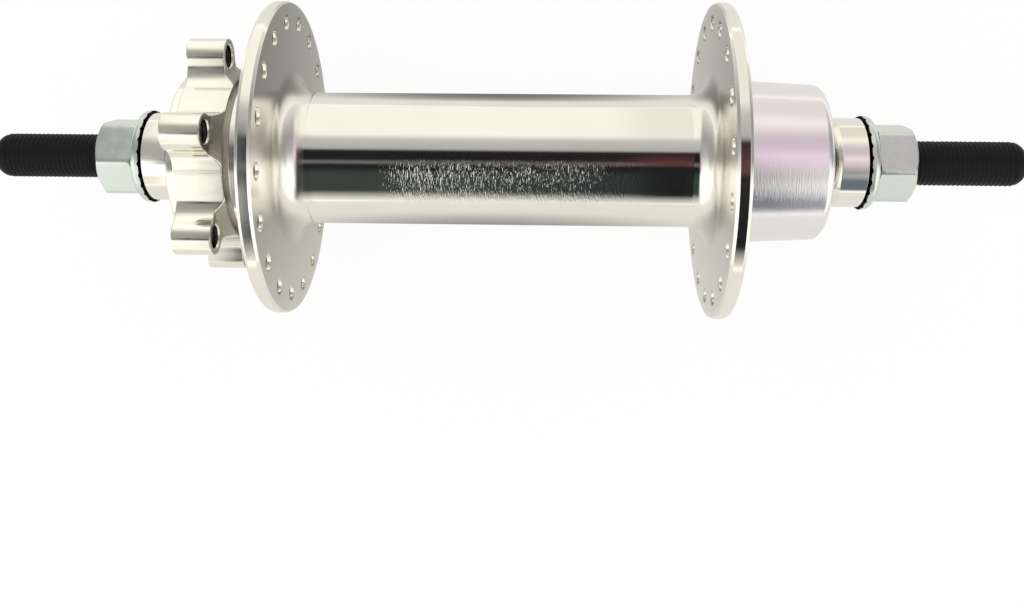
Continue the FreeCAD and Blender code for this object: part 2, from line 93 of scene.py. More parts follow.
def makePiece(name, patches, body, nodes, sharp=32.0):
    # patches: (points, closeRows, closeColumns, material); shared borders are welded afterwards
    places, quads, looks, start = [], [], [], 0
    materials = []
    for points, closeRows, closeColumns, material in patches:
        faces = quadsOf(points, closeRows, closeColumns)
        if material not in materials:
            materials.append(material)
        places.append(points.reshape(-1, 3))
        quads.append(faces + start)
        looks.append(np.full(len(faces), materials.index(material)))
        start += points.size // 3
    mesh = bpy.data.meshes.new(name)
    mesh.from_pydata((np.concatenate(places) * mm).tolist(), [], np.concatenate(quads).tolist())
    mesh.polygons.foreach_set("material_index", np.concatenate(looks).astype(np.int32))
    for material in materials:
        mesh.materials.append(material)
    shape = bmesh.new()
    shape.from_mesh(mesh)
    bmesh.ops.remove_doubles(shape, verts=shape.verts, dist=2e-6)
    bmesh.ops.dissolve_degenerate(shape, edges=shape.edges, dist=1e-7)
    bmesh.ops.recalc_face_normals(shape, faces=shape.faces)
    shape.to_mesh(mesh)
    shape.free()
    mesh.polygons.foreach_set("use_smooth", np.ones(len(mesh.polygons), bool))
    mesh.set_sharp_from_angle(angle=math.radians(sharp))
    piece = bpy.data.objects.new(name, mesh)
    scene.collection.objects.link(piece)
    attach(piece, body)
    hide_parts(*nodes)
    return piece


def roundedProfile(corners, steps=4, wideSteps=14, lead=0.03):
    # corners: (y, radius, rounding). Each inner corner gives way to an arc that touches both its sides:
    # the arc's middle lies on the corner's bisector, rounding / sin(half the inside angle) away.
    # A point just past either end of the arc keeps the shading of the straight run flat.
    table = np.array(corners, float)
    point, rounding = table[1:-1, :2], table[1:-1, 2]
    back = table[:-2, :2] - point
    ahead = table[2:, :2] - point
    back /= np.linalg.norm(back, axis=1, keepdims=True)
    ahead /= np.linalg.norm(ahead, axis=1, keepdims=True)
    half = np.arccos(np.clip((back * ahead).sum(1), -1, 1)) / 2
    reach = (rounding / np.tan(half))[:, None]
    bisector = back + ahead
    bisector /= np.linalg.norm(bisector, axis=1, keepdims=True)
    centre = point + bisector * (rounding / np.sin(half))[:, None]
    count = np.where(rounding > 1, wideSteps, steps) + 3
    which = np.repeat(np.arange(len(point)), count)
    step = np.arange(count.sum()) - np.repeat(np.cumsum(count) - count, count)
    last = count[which] - 1
    share = np.clip((step - 1) / (last - 2), 0, 1)[:, None]
    sweep = (math.pi - 2 * half)[which][:, None]
    begin = (point + back * reach - centre)[which]
    end = (point + ahead * reach - centre)[which]
    arc = centre[which] + (begin * np.sin((1 - share) * sweep) + end * np.sin(share * sweep)) / np.sin(sweep)
    before = (point + back * (reach + lead))[which]
    after = (point + ahead * (reach + lead))[which]
    rows = np.where((step == 0)[:, None], before, np.where((step == last)[:, None], after, arc))
    return np.concatenate([table[:1, :2], rows, table[-1:, :2]])


def turnedAbout(profile, columns, start=0.0):
    # every profile point (y, radius) goes round the axle: x = radius sin(angle), z = radius cos(angle)
    angle = math.radians(start) + np.arange(columns) * 2 * math.pi / columns
    y, radius = profile[:, :1], profile[:, 1:2]
    return np.stack([radius * np.sin(angle), y + 0 * angle, radius * np.cos(angle)], -1)[None]


def softMin(a, b, width):
    # the smaller of two sizes, blended over a short width where they meet
    mix = np.clip(0.5 + 0.5 * (b - a) / width, 0, 1)
    return b * (1 - mix) + a * mix - width * mix * (1 - mix)


# Material helpers

def colour(code):
    # sRGB hex to the linear numbers that nodes take
    values = np.array([int(code[i:i + 2], 16) for i in (1, 3, 5)]) / 255
    linear = np.where(values <= 0.04045, values / 12.92, ((values + 0.055) / 1.055) ** 2.4)
    return (*linear.tolist(), 1.0)


def addNode(tree, kind, values=None, links=None, **settings):
    node = tree.nodes.new(kind)
    for key, value in settings.items():
        setattr(node, key, value)
    for key, value in (values or {}).items():
        node.inputs[key].default_value = value
    for key, socket in (links or {}).items():
        tree.links.new(socket, node.inputs[key])
    return node


def newMaterial(name, **constants):
    material = bpy.data.materials.new(name)
    material.use_nodes = True
    tree = material.node_tree
    tree.nodes.clear()
    shader = addNode(tree, "ShaderNodeBsdfPrincipled", values=constants)
    addNode(tree, "ShaderNodeOutputMaterial", links={"Surface": shader.outputs[0]})
    return material, tree, shader


def fade(tree, value, low, high, start=0.0, end=1.0):
    # a smooth run from start to end while the value goes from low to high
    return addNode(tree, "ShaderNodeMapRange", links={"Value": value}, interpolation_type="SMOOTHSTEP",
                   values={"From Min": low, "From Max": high, "To Min": start, "To Max": end}).outputs[0]


def objectPlace(tree):
    return addNode(tree, "ShaderNodeTexCoord").outputs["Object"]


def noise(tree, place, size, detail=2.0):
    # size in mm
    return addNode(tree, "ShaderNodeTexNoise", values={"Scale": 1000.0 / size, "Detail": detail},
                   links={"Vector": place}).outputs["Fac"]


def dress(tree, shader, relief, depth, tint, colours, rough, strength=None):
    # relief and depth (mm) bend the surface, tint runs between two colours, rough drives the roughness
    bump = addNode(tree, "ShaderNodeBump", values={"Distance": depth * mm}, links={"Height": relief})
    if strength:
        tree.links.new(strength, bump.inputs["Strength"])
    mixed = addNode(tree, "ShaderNodeMix", values={"A": colour(colours[0]), "B": colour(colours[1])},
                    links={"Factor": tint}, data_type="RGBA")
    tree.links.new(bump.outputs[0], shader.inputs["Normal"])
    tree.links.new(rough, shader.inputs["Roughness"])
    tree.links.new(mixed.outputs["Result"], shader.inputs["Base Color"])


def turningPath(tree, around, along):
    # a place on a turned surface, as round-the-axle direction times "around" and y plus radius times "along";
    # also its y, its radius and its direction towards +X
    place = objectPlace(tree)
    flat = addNode(tree, "ShaderNodeVectorMath", values={1: (1, 0, 1)}, links={0: place}, operation="MULTIPLY")
    radius = addNode(tree, "ShaderNodeVectorMath", links={0: flat.outputs[0]},
                     operation="LENGTH").outputs["Value"]
    direction = addNode(tree, "ShaderNodeVectorMath", links={0: flat.outputs[0]}, operation="NORMALIZE")
    split = addNode(tree, "ShaderNodeSeparateXYZ", links={0: direction.outputs[0]})
    y = addNode(tree, "ShaderNodeSeparateXYZ", links={0: place}).outputs["Y"]
    path = addNode(tree, "ShaderNodeMath", links={0: y, 1: radius})
    joined = addNode(tree, "ShaderNodeCombineXYZ",
                     links={"X": split.outputs["X"], "Y": split.outputs["Z"], "Z": path.outputs[0]})
    scaled = addNode(tree, "ShaderNodeVectorMath", values={1: (around, around, along)},
                     links={0: joined.outputs[0]}, operation="MULTIPLY")
    return scaled.outputs[0], y, radius, split.outputs["X"]


# Turned and mirror-polished aluminium: bright, near white. Hair-fine rings show only in dark reflections,
# where they break into short glints. Flange faces and fillets got less of the polishing mop and are satin.
polishedTurning = dict(
    body="#F5F3ED", haze="#ECE9E1", hazeSize=11.0, roughness=0.085, satin=0.20,
    satinFrom=(0.0395, 0.0404),   # m: the satin begins at this distance from y = 0,
    satinTo=(0.0316, 0.0325),     # keeps inside this radius
    flangeEnd=(0.0478, 0.0482),   # and ends at this distance
    turned=14.0,                  # mm, the barrel's radius
    streakLength=1.4,             # mm round the barrel
    streakWidth=0.25,             # mm along it; the real rings are finer than a pixel and drawn this coarse
    streakDepth=0.070,            # mm
    streakLeast=0.012,            # share of that depth outside the glints
    glintEnds=(0.012, 0.033),     # m: the glints thin out between these distances from y = 0
    glintSide=(-0.14, -0.34),     # and towards the barrel's top: share of the radius along X
)


def makePolishedAluminium():
    look = polishedTurning
    material, tree, shader = newMaterial("polishedTurnedAluminium", Metallic=1.0)
    path, y, radius, side = turningPath(tree, look["turned"] / look["streakLength"],
                                        1000.0 / look["streakWidth"])
    streak = addNode(tree, "ShaderNodeTexNoise", values={"Scale": 1.0, "Detail": 1.5, "Roughness": 0.6},
                     links={"Vector": path}).outputs["Fac"]
    away = addNode(tree, "ShaderNodeMath", links={0: y}, operation="ABSOLUTE").outputs[0]
    middle = fade(tree, away, *look["glintEnds"], start=1.0, end=0.0)
    low = fade(tree, side, *look["glintSide"])
    zone = addNode(tree, "ShaderNodeMath", links={0: middle, 1: low}, operation="MULTIPLY").outputs[0]
    strength = fade(tree, zone, 0.0, 1.0, start=look["streakLeast"])
    rising = fade(tree, away, *look["satinFrom"])
    rim = fade(tree, radius, *look["satinTo"], start=1.0, end=0.0)
    inside = fade(tree, away, *look["flangeEnd"], start=1.0, end=0.0)
    face = addNode(tree, "ShaderNodeMath", links={0: rising, 1: rim}, operation="MULTIPLY").outputs[0]
    face = addNode(tree, "ShaderNodeMath", links={0: face, 1: inside}, operation="MULTIPLY").outputs[0]
    rough = fade(tree, face, 0.0, 1.0, start=look["roughness"], end=look["satin"])
    dress(tree, shader, streak, look["streakDepth"], noise(tree, objectPlace(tree), look["hazeSize"], 3.0),
          (look["body"], look["haze"]), rough, strength)
    return material


# Brushed turned aluminium: the drum keeps the lathe's lines, so its reflections smear round the axle.
brushedTurning = dict(
    body="#F6F2F3", shade="#EAE5E8", smooth=0.10, rough=0.23,
    turned=17.0,               # mm, the drum's radius
    lineLength=3.0,            # mm round the drum
    lineWidth=0.18,            # mm; the lathe's lines are finer and are drawn as coarse as this
    lineDepth=0.014,           # mm
    lineLeast=0.3,             # share of that depth on the drum's upper side
    lineSide=(-0.12, -0.40),   # the lines deepen down its front: share of the radius along X
)


def makeBrushedAluminium():
    look = brushedTurning
    material, tree, shader = newMaterial("brushedTurnedAluminium", Metallic=1.0)
    path, _, _, side = turningPath(tree, look["turned"] / look["lineLength"], 1000.0 / look["lineWidth"])
    line = addNode(tree, "ShaderNodeTexNoise", values={"Scale": 1.0, "Detail": 3.0, "Roughness": 0.7},
                   links={"Vector": path}).outputs["Fac"]
    rough = fade(tree, line, 0.0, 1.0, look["smooth"], look["rough"])
    strength = fade(tree, side, *look["lineSide"], start=look["lineLeast"])
    dress(tree, shader, line, look["lineDepth"], line, (look["shade"], look["body"]), rough, strength)
    return material


# Milled and polished aluminium: the lobes keep faint straight tool lines along the axle, and so do the spoke
# holes' countersinks and the spacers' tapers. Behind the mount and inside the spoke holes, where no mop
# reached, the metal is as milled and dull, with the same lines; its darker grey there is painted shade.
milledPolish = dict(name="milledPolishedAluminium", body="#F5F4EA", shade="#E9E7DB", roughness=0.11,
                    spread=0.06, lineLength=6.0, lineWidth=0.35, lineDepth=0.010, cloud=6.0)
milledRawPaintedShade = dict(name="milledAluminiumPaintedShade", body="#B9B7AB", shade="#94938A", roughness=0.30, spread=0.08,
                 lineLength=0.60, lineWidth=0.40, lineDepth=0.014, cloud=6.0)


def makeMilledAluminium(look):
    material, tree, shader = newMaterial(look["name"], Metallic=1.0)
    place = objectPlace(tree)
    across, along = 1000.0 / look["lineWidth"], 1000.0 / look["lineLength"]
    stretched = addNode(tree, "ShaderNodeMapping", values={"Scale": (across, along, across)},
                        links={"Vector": place})
    line = addNode(tree, "ShaderNodeTexNoise", values={"Scale": 1.0, "Detail": 2.0},
                   links={"Vector": stretched.outputs[0]}).outputs["Fac"]
    cloud = noise(tree, place, look["cloud"])
    rough = fade(tree, cloud, 0.0, 1.0, look["roughness"] - look["spread"], look["roughness"] + look["spread"])
    dress(tree, shader, line, look["lineDepth"], cloud, (look["shade"], look["body"]), rough)
    return material


# Grainy finishes. Tapped aluminium: the thread in the bolt holes is as cut and dull; its dark colour is
# painted shade in the deep holes.
# Zinc electroplate on steel: a cool grey, slightly cloudy bright coat with small pits. A nearly black copy of
# it
# is painted shade: in the washers' notches, on the nuts' feet and in the foot half of their bores. Sizes in
# mm.
tappedThreadPaintedShade = dict(name="tappedAluminiumPaintedShade", body="#4A4843", shade="#2B2A27", roughness=0.40, spread=0.10,
                    cloud=0.60, grain=0.30, depth=0.010)
zincCoat = dict(name="zincPlatedSteel", body="#E2E8E2", shade="#CBD3CE", roughness=0.21, spread=0.08,
                cloud=2.2, grain=0.30, depth=0.010)
zincNotchPaintedShade = dict(name="zincPaintedShadeInGaps", body="#34352F", shade="#151614", roughness=0.45, spread=0.10,
                 cloud=0.50, grain=0.25, depth=0.012)


def makeGrainyMetal(look):
    material, tree, shader = newMaterial(look["name"], Metallic=1.0)
    place = objectPlace(tree)
    cloud = noise(tree, place, look["cloud"], 3.0)
    rough = fade(tree, cloud, 0.0, 1.0, look["roughness"] - look["spread"], look["roughness"] + look["spread"])
    dress(tree, shader, noise(tree, place, look["grain"]), look["depth"], cloud,
          (look["shade"], look["body"]), rough)
    return material


# Black oxide on a rolled thread: a flat, dry black with little sheen and a trace of grey on the crests.
blackOxide = dict(body="#121212", worn="#1E1E1F", specular=0.12, smooth=0.42, rough=0.62,
                  grain=0.25, depth=0.008)


def makeBlackOxide():
    look = blackOxide
    material, tree, shader = newMaterial("blackOxideSteel", Metallic=0.0,
                                         **{"Specular IOR Level": look["specular"]})
    grain = noise(tree, objectPlace(tree), look["grain"], 3.0)
    rough = fade(tree, grain, 0.0, 1.0, look["smooth"], look["rough"])
    dress(tree, shader, grain, look["depth"], grain, (look["body"], look["worn"]), rough)
    return material


# Inner parts, seen only from the ends or with the hub in pieces. Grain and its depth are in mm.
innerRound = 8.0               # grain cells in each radian round the axle
innerSpread = (-0.05, 0.06)    # how far the roughness runs below and above its value
innerLooks = {
    # plain turned aluminium keeps its feed lines and is duller than the polished parts
    "plain_alloy": dict(name="turnedAluminium", metallic=1.0, body="#CFCFCC", shade="#B4B4B1", roughness=0.30,
                        grain=0.30, depth=0.010),
    # ground bearing steel is hard, smooth and slightly blue
    "bearing_steel": dict(name="groundBearingSteel", metallic=1.0, body="#C9CBCD", shade="#B2B5B8",
                          roughness=0.12, grain=0.20, depth=0.003),
    # moulded nylon is milky and a little waxy
    "cage_nylon": dict(name="mouldedNylon", metallic=0.0, body="#DCD4BC", shade="#C8BE9F", roughness=0.42,
                       grain=0.50, depth=0.010),
    # moulded seal rubber is a soft black with an even fine grain
    "seal_rubber": dict(name="mouldedSealRubber", metallic=0.0, body="#1B1B1D", shade="#111113",
                        roughness=0.55, grain=0.25, depth=0.012),
}


def makeInnerMaterials():
    made = {}
    for key, look in innerLooks.items():
        material, tree, shader = newMaterial(look["name"], Metallic=look["metallic"])
        path = turningPath(tree, innerRound, 1000.0 / look["grain"])[0]
        grain = addNode(tree, "ShaderNodeTexNoise", values={"Scale": 1.0, "Detail": 2.0},
                        links={"Vector": path}).outputs["Fac"]
        rough = fade(tree, grain, 0.0, 1.0, *(look["roughness"] + spread for spread in innerSpread))
        dress(tree, shader, grain, look["depth"], grain, (look["shade"], look["body"]), rough)
        made[key] = material
    return made


polished = makePolishedAluminium()
brushed = makeBrushedAluminium()
milled = makeMilledAluminium(milledPolish)
# a darker grey copy of the milled aluminium: painted shade on the mount's back and the spoke holes' walls
milledBackPaintedShade = makeMilledAluminium(milledRawPaintedShade)
# dark thread finish: painted shade inside the bolt holes
tappedPaintedShade = makeGrainyMetal(tappedThreadPaintedShade)
zinc = makeGrainyMetal(zincCoat)
# nearly black zinc: painted shade in the washers' notches and under and inside the nuts
darkZincPaintedShade = makeGrainyMetal(zincNotchPaintedShade)
blackSteel = makeBlackOxide()
inner = makeInnerMaterials()
print("materials made")


# Hub shell: turned blank with drilled flanges. Sizes in mm, y along the axle, each corner with its edge break.
hub = dict(
    columns=288,
    leftFlange=(44.8, 47.8), rightFlange=(43.8, 46.8), rim=33.2, rimFace=32.85, rimBevel=0.6,
    holeCircle=29.0, holeRadius=1.3, mouthRadius=1.85, mouthDepth=0.55, holes=18,
    leftPhase=2.0, rightPhase=12.0, patchLow=26.4, patchHigh=31.6,
    barrel=14.0, creaseLeft=14.12, creaseRight=14.02, fillet=5.0, leftCrease=39.5, rightCrease=38.5,
    neck=17.0, neckFillet=2.2, groove=15.8, grooveStart=54.1,
    register=17.45, registerEnd=66.7, seat=14.0, seatDepth=57.2, bore=12.0,
    drumRoot=17.2, drumStart=47.5, relief=16.85, drumEnd=66.3, drumEndRadius=16.25, drumRound=1.6,
    edge=0.15, chamfer=0.3, registerBack=64.0,
)


def flangeHoles(inside, outside, side, phase):
    # Each 20 degree sector of the holed band is a ring of lines: from the sector's border straight to the
    # hole, down its countersink, through the wall, up the other countersink and out to the other border.
    n, m = 16, 6   # points on the border's arcs and on its straight sides
    low, high, count = hub["patchLow"], hub["patchHigh"], hub["holes"]
    halfAngle = math.pi / count
    across = np.concatenate([np.linspace(-1, 1, n + 1)[:-1], np.ones(m),
                             np.linspace(1, -1, n + 1)[:-1], -np.ones(m)])
    up = np.concatenate([np.zeros(n), np.arange(m) / m, np.ones(n), 1 - np.arange(m) / m])
    borderAngle = across * halfAngle
    borderRadius = low + (high - low) * up
    border = np.stack([borderRadius * np.sin(borderAngle), borderRadius * np.cos(borderAngle)], -1)
    middle = np.array([0, hub["holeCircle"]])
    outward = border - middle
    outward /= np.linalg.norm(outward, axis=1, keepdims=True)
    mouth, wall, deep = hub["mouthRadius"], hub["holeRadius"], hub["mouthDepth"]
    thick = outside - inside
    # (radius, depth) of each line: two on the flat beside the mouth, then the countersink and the wall
    rings = np.array([(mouth + 0.30, 0), (mouth + 0.06, 0), (mouth, 0.03), (wall + 0.03, deep - 0.03),
                      (wall, deep + 0.03), (wall, thick / 2)])
    rings = np.concatenate([rings, np.stack([rings[-2::-1, 0], thick - rings[-2::-1, 1]], -1)])
    rows = middle + rings[:, :1, None] * outward
    depth = rings[:, 1:2] + 0 * across
    flat = np.concatenate([border[None], rows, border[None]])
    depth = np.concatenate([0 * across[None], depth, thick + 0 * across[None]])
    turn = math.radians(phase) + np.arange(count) * 2 * math.pi / count
    sine, cosine = np.sin(turn)[:, None, None], np.cos(turn)[:, None, None]
    x = flat[None, ..., 0] * cosine + flat[None, ..., 1] * sine
    z = flat[None, ..., 1] * cosine - flat[None, ..., 0] * sine
    y = np.broadcast_to((outside - depth) * side, x.shape)
    return np.stack([x, y, z], -1)


def makeHub():
    h = hub
    leftIn, leftOut = h["leftFlange"]
    rightIn, rightOut = h["rightFlange"]
    low, high, edge, chamfer = h["patchLow"], h["patchHigh"], h["edge"], h["chamfer"]
    neckToSeat = roundedProfile([
        (leftOut, low, 0), (leftOut, h["neck"], h["neckFillet"]), (h["grooveStart"], h["neck"], edge),
        (h["grooveStart"], h["groove"], 0.08), (h["registerBack"], h["groove"], 0.08),
        (h["registerBack"], h["register"], 0.08),
        (h["registerEnd"] - chamfer, h["register"], 0.08), (h["registerEnd"], h["register"] - chamfer, 0.08),
        (h["registerEnd"], h["seat"] + chamfer, 0.08), (h["registerEnd"] - chamfer, h["seat"], 0.08),
        (h["seatDepth"], h["seat"], 0.1), (h["seatDepth"], h["bore"], 0.1), (0, h["bore"], 0)])
    seatToDrum = roundedProfile([
        (0, h["bore"], 0), (-h["seatDepth"], h["bore"], 0.1), (-h["seatDepth"], h["seat"], 0.1),
        (-h["drumEnd"] + chamfer, h["seat"], 0.08), (-h["drumEnd"], h["seat"] + chamfer, 0.08),
        (-h["drumEnd"], h["drumEndRadius"], h["drumRound"]), (-h["drumStart"], h["drumRoot"], 0.12),
        (-h["drumStart"], h["relief"], 0.06), (-rightOut, h["relief"], 0.1), (-rightOut, low, 0)])
    drumAt = int(np.argmax((seatToDrum[:, 0] > -h["drumEnd"] - 0.001) & (seatToDrum[:, 1] > h["seat"] + 0.5)))
    barrel = roundedProfile([
        (-rightIn, low, 0), (-rightIn, h["creaseRight"], h["fillet"]),
        (-h["rightCrease"], h["creaseRight"], 0.10), (-h["rightCrease"] + 1.2, h["barrel"], 0.90),
        (h["leftCrease"] - 1.2, h["barrel"], 0.90),
        (h["leftCrease"], h["creaseLeft"], 0.10), (leftIn, h["creaseLeft"], h["fillet"]), (leftIn, low, 0)])
    rims = [roundedProfile([
        (side * a, high, 0), (side * a, h["rimFace"], 0.15), (side * (a + h["rimBevel"]), h["rim"], 0.2),
        (side * (b - h["rimBevel"]), h["rim"], 0.2), (side * b, h["rimFace"], 0.15), (side * b, high, 0)])
        for side, (a, b) in ((1, (leftIn, leftOut)), (-1, (rightIn, rightOut)))]
    turned = [turnedAbout(p, h["columns"], h["leftPhase"]) for p in (neckToSeat, barrel, *rims)]
    patches = [(p, False, True, polished) for p in turned]
    patches.append((turnedAbout(seatToDrum[:drumAt + 1], h["columns"], h["leftPhase"]), False, True, polished))
    patches.append((turnedAbout(seatToDrum[drumAt:], h["columns"], h["leftPhase"]), False, True, brushed))
    for holes in (flangeHoles(leftIn, leftOut, 1, h["leftPhase"]),
                  flangeHoles(rightIn, rightOut, -1, h["rightPhase"])):
        # the spoke holes' walls take the darker milled grey: painted shade inside the holes
        patches += [(holes[:, :3], False, True, polished), (holes[:, 2:6], False, True, milled),
                    (holes[:, 5:-5], False, True, milledBackPaintedShade), (holes[:, -6:-2], False, True, milled),
                    (holes[:, -3:], False, True, polished)]
    return makePiece("hubShellSkin", patches, "shell_group", ["hub_shell"])


# Rotor mount: six lobes round a core, faced at both ends, cut back behind and tapped for the disc's bolts.
mount = dict(
    face=65.0, back=55.0, lobeBack=57.1, coneLow=17.9, coneHigh=19.3,
    lobeCircle=22.0, lobe=3.7, flank=4.7, core=17.9, inside=15.0, edge=0.14,
    bolt=2.34, boltMouth=2.58,   # the radii of the thread's root and of the polished chamfer
    mouthDepth=0.3, threadPitch=0.8, threadDepth=0.20,
    flankSteps=12, coreSteps=4, lobeSteps=34, innerSteps=22, threadRows=84,
)


def lobeLine(drop, inward):
    # Points of one 60 degree sector's outline, all arcs of circles that touch: core, hollow flank, lobe,
    # flank, core. "drop" moves the line into the metal; "inward" takes the lobe's inner side, not its tip.
    m = mount
    reach = m["lobe"] + m["flank"]
    # the flank's centre is at "reach" from the lobe's centre and at core + flank from the axle
    far = m["core"] + m["flank"]
    rise = (far ** 2 + m["lobeCircle"] ** 2 - reach ** 2) / (2 * m["lobeCircle"])
    lean = math.acos(rise / far)
    tilt = math.asin((m["lobeCircle"] - rise) / reach)
    out = math.sqrt(far ** 2 - rise ** 2)

    def arc(cx, cz, radius, begin, end, steps):
        angle = begin + (end - begin) * np.arange(steps) / steps
        return np.stack([cx + radius * np.cos(angle), cz + radius * np.sin(angle)], -1)

    up = math.pi / 2
    sector = math.pi / 6
    lobeEnds = (math.pi + tilt, 2 * math.pi - tilt) if inward else (math.pi + tilt, -tilt)
    return np.concatenate([
        arc(0, 0, m["core"] - drop, up + sector, up + lean, m["coreSteps"]),
        arc(-out, rise, m["flank"] + drop, lean - up, tilt, m["flankSteps"]),
        arc(0, m["lobeCircle"], m["lobe"] - drop, *lobeEnds, m["innerSteps"] if inward else m["lobeSteps"]),
        arc(out, rise, m["flank"] + drop, math.pi - tilt, math.pi + up - lean, m["flankSteps"]),
        arc(0, 0, m["core"] - drop, up - lean, up - sector, m["coreSteps"]),
    ])


def sixTimes(flat, y):
    # the sector repeated six times round the axle as one closed row of columns
    turn = np.arange(6)[:, None] * math.pi / 3
    x = flat[..., 0][..., None, :] * np.cos(turn) + flat[..., 1][..., None, :] * np.sin(turn)
    z = flat[..., 1][..., None, :] * np.cos(turn) - flat[..., 0][..., None, :] * np.sin(turn)
    high = np.broadcast_to(y[..., None, :], x.shape)
    points = np.stack([x, high, z], -1)
    return points.reshape(1, points.shape[0], -1, 3)


def backHeight(flat):
    # the back of the mount: a flat at the groove, a cone from coneLow to coneHigh, then the lobes' own flat
    m = mount
    radius = np.linalg.norm(flat, axis=-1)
    rise = (radius - m["coneLow"]) / (m["coneHigh"] - m["coneLow"])
    return m["back"] + (m["lobeBack"] - m["back"]) * softMin(np.clip(rise, 0, 9), 1.0, 0.12)


def makeMount():
    m = mount
    edge = m["edge"]
    quarter = np.linspace(0, math.pi / 2, 6)
    drops = np.concatenate([edge * (1 - np.sin(quarter)), [0, 0], edge * (1 - np.sin(quarter[::-1]))])
    lines = np.stack([lobeLine(d, False) for d in drops])
    back = backHeight(lines)
    y = np.empty(lines.shape[:2])
    y[:6] = (m["face"] - edge * (1 - np.cos(quarter)))[:, None]
    y[6] = m["face"] - edge - 0.05
    y[7] = back[7] + edge + 0.05
    y[8:] = back[8:] + (edge * (1 - np.cos(quarter[::-1])))[:, None]
    wall = sixTimes(lines, y)

    # faces between the lobe line and a circle round the axle, by rows that keep each column's angle
    rim = lobeLine(edge, True)
    radius = np.linalg.norm(rim, axis=-1)
    heading = rim / radius[:, None]
    frontRadii = np.stack([radius, radius - 0.05, np.full_like(radius, m["inside"])])
    front = sixTimes(heading * frontRadii[..., None], np.full(frontRadii.shape, m["face"]))
    top = np.minimum(radius, m["coneHigh"])
    share = np.linspace(0, 1, 7)[:, None]
    backRadii = np.concatenate([radius + (top - radius) * share[:-1], top + (m["coneLow"] - top) * share,
                                np.full((1, len(radius)), m["inside"])])
    backFlat = heading * backRadii[..., None]
    backFace = sixTimes(backFlat, backHeight(backFlat))
    through = np.concatenate([front[:, -1:], backFace[:, -1:]], 1)

    # bolt holes: chamfer, thread, chamfer; the thread's crest winds inward once each pitch
    upper = lobeLine(edge, False)[m["coreSteps"] + m["flankSteps"]:][:m["lobeSteps"]]
    lower = rim[m["coreSteps"] + m["flankSteps"]:][:m["innerSteps"]]
    # the inner arc ends where the tip arc begins on the other side, so run it backwards to close the ring
    lowerEnd = upper[0] * [-1, 1]
    lowerBack = np.concatenate([lowerEnd[None], lower[1:][::-1]])
    ring = np.concatenate([upper, lowerBack])
    middle = np.array([0, m["lobeCircle"]])
    outward = (ring - middle) / (m["lobe"] - edge)
    angle = np.arctan2(outward[:, 0], outward[:, 1])
    count = m["threadRows"]
    downs = np.linspace(0, 1, count)[:, None]
    mouth, hole = m["boltMouth"], m["bolt"]
    endsIn = middle + outward * mouth
    deep = backHeight(endsIn)
    frontY, backY = m["face"] - m["mouthDepth"], deep + m["mouthDepth"]
    threadY = frontY + (backY - frontY) * downs
    turnsOfThread = threadY / m["threadPitch"] + angle / (2 * math.pi)
    crest = np.abs(2 * (turnsOfThread - np.floor(turnsOfThread)) - 1)
    # its crests have narrow flats, and it fades in and out over eight rows
    runOut = np.clip(np.minimum(downs, 1 - downs) * count / 8, 0, 1)
    threadRadius = hole - m["threadDepth"] * np.clip(crest * 1.3 - 0.15, 0, 1) * runOut
    lobeEdge = m["lobe"] - edge
    before = np.array([lobeEdge, lobeEdge - 0.05, mouth + 0.05, mouth])[:, None] * np.ones((1, len(ring)))
    radii = np.concatenate([before, threadRadius, before[::-1]])
    flat = middle + radii[..., None] * outward
    face = np.full((1, len(ring)), m["face"])
    behind = backHeight(flat[-4:])
    holeY = np.concatenate([face, face, face, face - 0.03, threadY, behind[:1] + 0.03, behind[1:]])
    turn = np.arange(6)[:, None, None] * math.pi / 3
    x = flat[None, ..., 0] * np.cos(turn) + flat[None, ..., 1] * np.sin(turn)
    z = flat[None, ..., 1] * np.cos(turn) - flat[None, ..., 0] * np.sin(turn)
    holes = np.stack([x, np.broadcast_to(holeY, x.shape), z], -1)
    # the back face and the bolt holes' rear mouths take the darker milled grey: painted shade behind the mount
    return makePiece("rotorMountSkin", [(wall, False, True, milled), (front, False, True, milled),
                                        (backFace, False, True, milledBackPaintedShade), (through, False, True, milled),
                                        (holes[:, :5], False, True, milled),
                                        # the thread's dark colour is painted shade inside the bolt holes
                                        (holes[:, 4:-4], False, True, tappedPaintedShade),
                                        (holes[:, -5:-2], False, True, milled),
                                        (holes[:, -3:], False, True, milledBackPaintedShade)],
                     "shell_group", ["hub_shell"])


makeHub()
makeMount()
print("hub shell and rotor mount made")


# Axle: a rod threaded at both ends, with domed tips. Its surface is the smaller of thread and dome. The
# thread is a wave along the rod that moves on by one pitch with each turn round it.
rod = dict(radius=4.7, end=109.5, dome=3.2, pitch=0.977, depth=0.25, threadStart=72.5, runOut=1.5, columns=64,
           perPitch=9)


